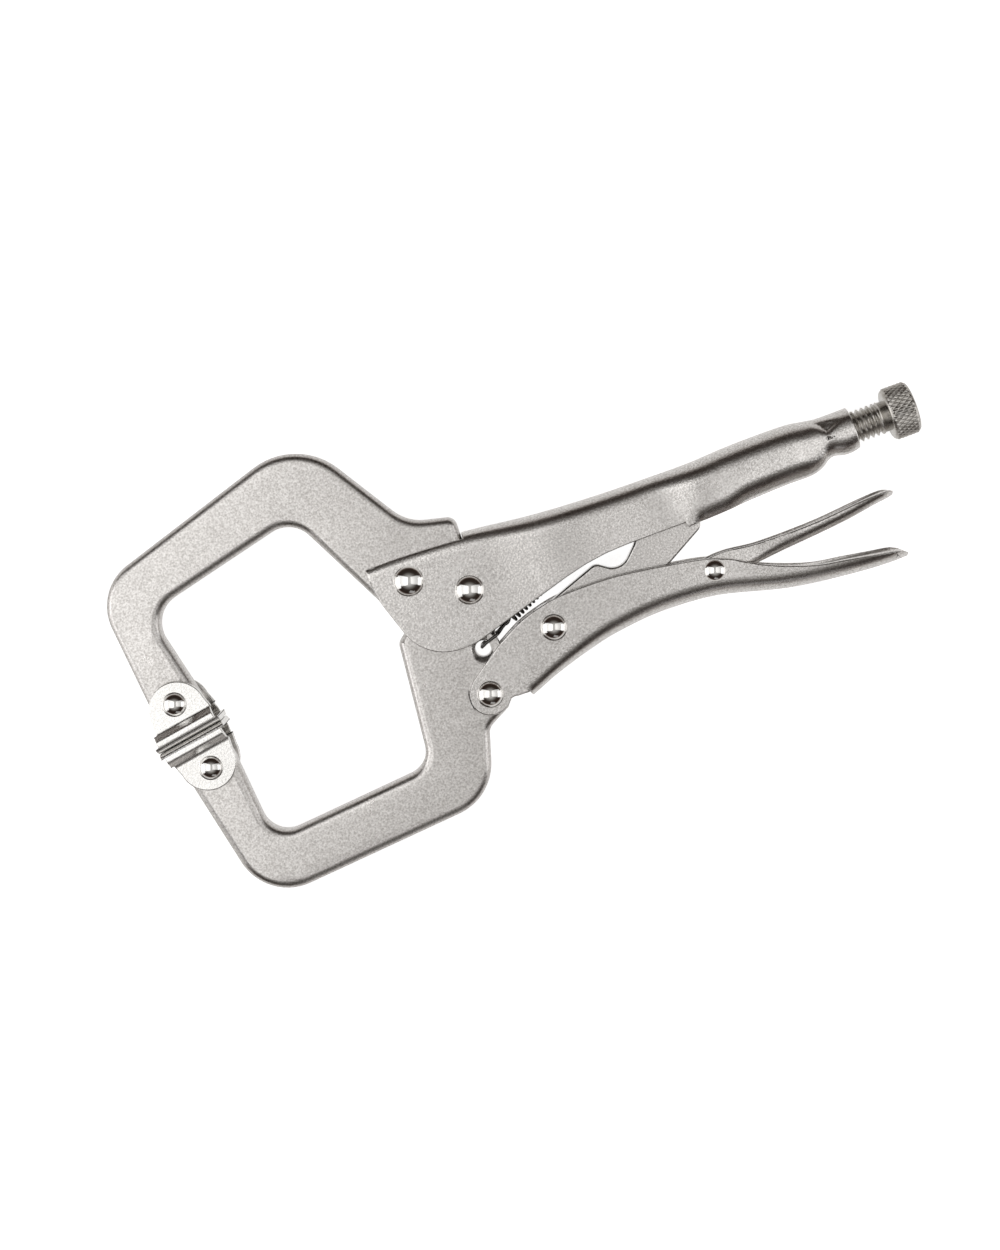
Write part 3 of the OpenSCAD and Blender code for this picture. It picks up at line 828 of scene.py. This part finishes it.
def moving_handle_piece():
    """The moving handle: two ears, cheeks with a bowed upper edge, and a folded spine below.

    The ears are flat, so that the moving jaw passes between them, and ease into the fold at the notch.
    """
    back = [(-14, -48.3), (7.3, -41.3), (18.2, -37.2), (32.2, -33.2), (42, -31.2), (56, -29.8), (70, -30.2),
            (80, -31.6), (102, -37.2), (127, -40.2), (142, -40.8)]
    upper = [(2.4, -21), (11.3, -16.4), (18, -14.2), (26, -12.6), (38, -12.3), (48, -12.8), (58, -14.1),
             (67, -15.6), (77.4, -17.6), (85.5, -20.6), (93.4, -25.2), (102, -29), (112, -32.3), (122, -34),
             (132, -35.8), (138, -36.9), (141, -38.1), (142, -39.1)]
    ear = Vector((-5.7, -35.4))
    ear_r = 7.2
    ear_end = math.radians(124)
    least_drop = 3.6
    cheek_start = upper[0]
    flat_until = 5.3
    notch = 7.3
    notch_height = -39.2
    tip = upper[-1][0]
    rows = []
    for a in steps(math.pi - 0.05, ear_end, 16):
        x = ear.x + ear_r * math.cos(a)
        rows.append((x, ear.y + ear_r * math.sin(a), ear.y - ear_r * math.sin(a)))
    joint = rows[-1]
    for x in steps(joint[0], cheek_start[0], 12)[1:]:
        t = (x - joint[0]) / (cheek_start[0] - joint[0])
        drop = math.sqrt(max(0, ear_r ** 2 - (x - ear.x) ** 2))
        rows.append((x, joint[1] + (cheek_start[1] - joint[1]) * t, ear.y - max(drop, least_drop)))
    for x in steps(cheek_start[0], notch, 8)[1:]:
        rows.append((x, height_at(upper, x), notch_height))
    open_rows = len(rows)
    rows += [(x, height_at(upper, x), None) for x in steps(notch + 0.02, tip, 120)]
    sections = []
    for x, edge, stop in rows:
        half_w = ease(SHEET_HALF, 8.4, 85, 125, x) * rounded_end(x, tip, 6)
        section = fold_section(-1, (x, height_at(back, x)), (x, edge), half_w,
                               min(half_w, ease(5, 6.5, 8, 40, x)), SHEET, 4, 0, stop)
        if stop is not None:
            for p in section:
                p.z += (SLOT_HALF + SHEET / 2 - p.z) * ease(1, 0, flat_until, notch, x)
        sections.append(section)
    mesh = folded_sheet("moving_handle", sections, open_rows)
    piece = folded_piece(mesh, "moving_handle_folded", "moving_handle", SHEET * MM, 0.35 * MM)
    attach(piece, body_of_node["moving_handle"])


def release_lever_piece():
    """The release lever: a narrow channel, open above like the moving handle, with a blunt round tip."""
    edge = [(58, -24.1), (64, -22.4), (71, -19.7), (78, -18), (85, -17.7), (96, -18.9), (116, -18.9),
            (134, -17.4), (141, -17.2), (143.3, -17.6), (144, -18)]
    back = [(58, -25.7), (64, -25.5), (75, -25.5), (90, -25.5), (104, -24.3), (126, -22.3), (138, -20.4),
            (142, -20), (144, -19.7)]
    sheet = 1.5
    front = edge[0][0]
    tip = edge[-1][0]
    sections = []
    for x in steps(front, tip, 110):
        half_w = ease(4.4, 5.8, 94, 112, x) * rounded_end(x, tip, 5)
        sections.append(fold_section(-1, (x, height_at(back, x)), (x, height_at(edge, x)), half_w,
                                     min(half_w, ease(2.4, 4, 90, 106, x)), sheet, 2, slot=False))
    mesh = folded_sheet("release_lever", sections, 0)
    piece = folded_piece(mesh, "release_lever_folded", "release_lever", sheet * MM, 0.3 * MM)
    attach(piece, body_of_node["release_lever"])


jaw_pieces()
fixed_handle_piece()
moving_handle_piece()
release_lever_piece()
for node_name in ("upper_swivel_pad", "lower_swivel_pad"):
    rounded_copy(node_name, 0.35 * MM)
for node_name in frame["nodes"]:
    if node_name.endswith("_rivet"):
        rivet_piece(node_name)
knob_piece()
screw_piece()
spring_piece()


# ---- floor, light and camera ----

# Directions of the picture's upper edge and right edge, on the floor
PICTURE_UP = Vector((0.347, 0.938, 0))
PICTURE_RIGHT = Vector((0.938, -0.347, 0))


def add_floor():
    """A plain white table top.  The metal doesn't mirror it, but the darker studio round it."""
    bpy.ops.mesh.primitive_plane_add(size=6, location=(0, 0, -0.0002))
    floor = bpy.context.object
    floor.name = "floor"
    material = bpy.data.materials.new("floor")
    material.use_nodes = True
    shader = material.node_tree.nodes["Principled BSDF"]
    shader.inputs["Base Color"].default_value = (0.9, 0.9, 0.9, 1)
    shader.inputs["Roughness"].default_value = 0.8
    shader.inputs["Emission Color"].default_value = (1, 1, 1, 1)
    shader.inputs["Emission Strength"].default_value = 0.75
    floor.data.materials.append(material)
    floor.visible_glossy = False


def facing(place, target):
    """Position and turn of a camera or panel at place that looks at target, upright in the picture."""
    back = (place - target).normalized()
    right = PICTURE_UP.cross(back).normalized()
    above = back.cross(right)
    return Matrix((*((right[i], above[i], back[i], place[i]) for i in range(3)), (0, 0, 0, 1)))


def add_panel(name, right, up, height, size, power):
    """A rectangular soft light, placed along the picture's right and up and above the tool, that faces it."""
    light = bpy.data.lights.new(name, "AREA")
    light.shape = "RECTANGLE"
    light.size, light.size_y = size
    light.energy = power
    panel = bpy.data.objects.new(name, light)
    bpy.context.scene.collection.objects.link(panel)
    place = PICTURE_RIGHT * right + PICTURE_UP * up + Vector((0, 0, height))
    panel.matrix_world = facing(place, Vector((0, 0, 0)))


def add_studio():
    """The world: light below the horizon, a dark brownish band above it, and pale grey overhead."""
    world = bpy.data.worlds.new("studio")
    world.use_nodes = True
    tree = world.node_tree
    place = tree.nodes.new("ShaderNodeTexCoord").outputs["Generated"]
    parts = tree.nodes.new("ShaderNodeSeparateXYZ")
    tree.links.new(place, parts.inputs["Vector"])
    height = tree.nodes.new("ShaderNodeMapRange")
    height.inputs["From Min"].default_value = -1
    tree.links.new(parts.outputs["Z"], height.inputs["Value"])
    ramp = tree.nodes.new("ShaderNodeValToRGB")
    tree.links.new(height.outputs["Result"], ramp.inputs["Fac"])
    ramp.color_ramp.elements[0].color = (0.9, 0.89, 0.88, 1)
    ramp.color_ramp.elements[1].color = (0.56, 0.55, 0.54, 1)
    for position, colour in ((0.3, (0.78, 0.77, 0.76, 1)), (0.49, (0.62, 0.6, 0.58, 1)),
                             (0.56, (0.1, 0.07, 0.055, 1)), (0.61, (0.02, 0.013, 0.01, 1)),
                             (0.79, (0.03, 0.022, 0.018, 1)), (0.88, (0.16, 0.15, 0.14, 1)),
                             (0.95, (0.42, 0.41, 0.4, 1))):
        ramp.color_ramp.elements.new(position).color = colour
    tree.links.new(ramp.outputs["Color"], tree.nodes["Background"].inputs["Color"])
    bpy.context.scene.world = world
    bpy.context.scene.view_settings.view_transform = "Standard"


def add_lights():
    """Large panels left and right of the camera, low ones at the sides, and a faint one below the picture."""
    add_panel("panel_left", -0.62, 0.0, 0.72, (1.25, 0.95), 3.5)
    add_panel("panel_right", 0.64, 0.08, 0.72, (1.2, 0.85), 2.0)
    add_panel("wing_left", -0.95, -0.2, 0.3, (0.6, 1.0), 2.0)
    add_panel("wing_right", 0.95, -0.05, 0.3, (0.6, 0.7), 1.3)
    add_panel("panel_low", 0.25, -1.0, 0.35, (0.5, 0.3), 0.15)


def add_camera():
    """The camera looks down on the tool, which lies turned by about 20 degrees in the picture."""
    place = Vector((9.235, 58.65, 759.35)) * MM
    target = Vector((-15.975, -9.51, 9.35)) * MM
    data = bpy.data.cameras.new("camera")
    data.sensor_fit = "VERTICAL"
    data.sensor_height = 36
    data.lens = 64.2
    camera = bpy.data.objects.new("camera", data)
    bpy.context.scene.collection.objects.link(camera)
    camera.matrix_world = facing(place, target)
    bpy.context.scene.camera = camera


add_floor()
add_studio()
add_lights()
add_camera()
